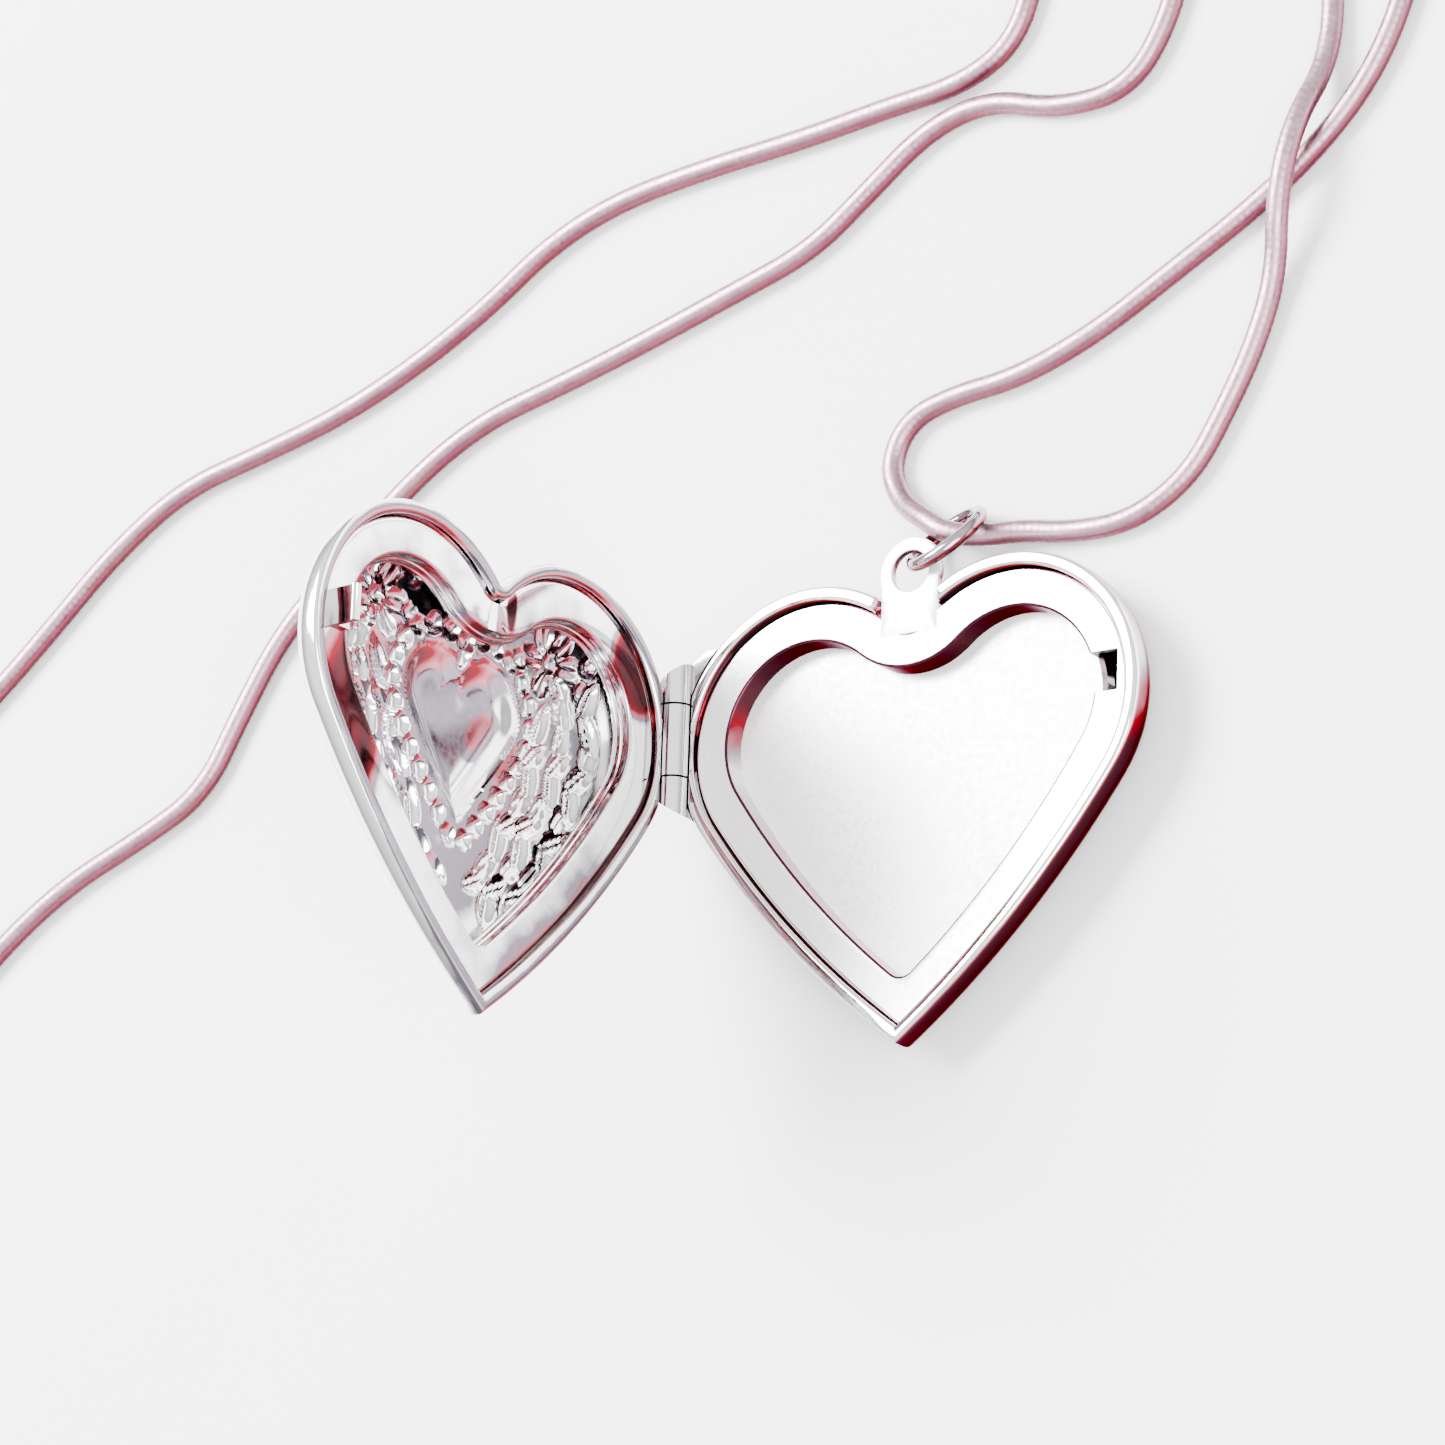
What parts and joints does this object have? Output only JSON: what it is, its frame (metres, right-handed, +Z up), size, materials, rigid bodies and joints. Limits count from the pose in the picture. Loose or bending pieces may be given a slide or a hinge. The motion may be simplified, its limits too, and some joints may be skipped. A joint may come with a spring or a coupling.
{
  "type": "heart locket on a snake chain",
  "caption": "Heart locket necklace: two hinged stamped halves with a picture window and an embossed cover, on a jump ring and a round snake chain with a claw clasp.",
  "frame": {"origin": "on the flat outer face of the back half, under the middle of the line through the two lobe centres; that face lies on Z = 0", "axes": "+X from the hinge to the catch, +Y from the heart's point to its cleft, +Z up out of the back half; the flat back faces -Z"},
  "size_m": [0.1203, 0.0811, 0.0316],
  "materials": {
    "plated_shell": "mirror-polished silver-coloured plating on stamped brass",
    "snake_chain": "fine ribbed, satin-bright silver-coloured plating",
    "fastener": "polished silver-coloured plating",
    "spring_wire": "drawn steel wire"
  },
  "bodies": {
    "back": {"back_shell": "plated_shell", "back_frame": "plated_shell", "photo_backing": "plated_shell", "hinge_knuckle_upper": "plated_shell", "hinge_knuckle_lower": "plated_shell", "hinge_pin": "plated_shell", "chain": "snake_chain", "end_cap_a": "fastener", "clasp_body": "fastener", "clasp_pivot": "fastener", "clasp_spring": "spring_wire", "end_cap_b": "fastener"},
    "cover": {"cover_shell": "plated_shell", "cover_frame": "plated_shell", "catch_tongue": "plated_shell", "hinge_knuckle_middle": "plated_shell"},
    "jump_ring": {"jump_ring": "plated_shell"},
    "link_ring": {"link_ring": "fastener"},
    "catch_ring": {"catch_ring": "fastener"},
    "clasp_lever": {"clasp_lever": "fastener"}
  },
  "joints": [
    {"name": "cover_hinge", "type": "hinge", "parent": "back", "child": "cover", "pos_m": [-0.0143, 0, 0.0034], "axis": [0, -1, 0], "range_deg": [-94.24, 66]},
    {"name": "jump_ring_swing", "type": "hinge", "parent": "back", "child": "jump_ring", "pos_m": [0.00005, 0.00845, 0.00279], "axis": [-0.2938, 0.6709, 0.6809], "range_deg": [-4, 6]},
    {"name": "link_ring_turn", "type": "hinge", "parent": "back", "child": "link_ring", "pos_m": [-0.08699, -0.00515, 0.0015], "axis": [0.7067, -0.0247, 0.7071], "continuous": true},
    {"name": "catch_ring_turn", "type": "hinge", "parent": "back", "child": "catch_ring", "pos_m": [-0.08728, -0.01339, 0.0015], "axis": [0.6424, -0.0224, 0.766], "continuous": true},
    {"name": "clasp_lever_pull", "type": "hinge", "parent": "back", "child": "clasp_lever", "pos_m": [-0.08846, -0.00865, 0.0015], "axis": [0, 0, 1], "range_deg": [0, 14], "stiffness_Nm_per_rad": 0.004, "springref_deg": -17.19}
  ]
}
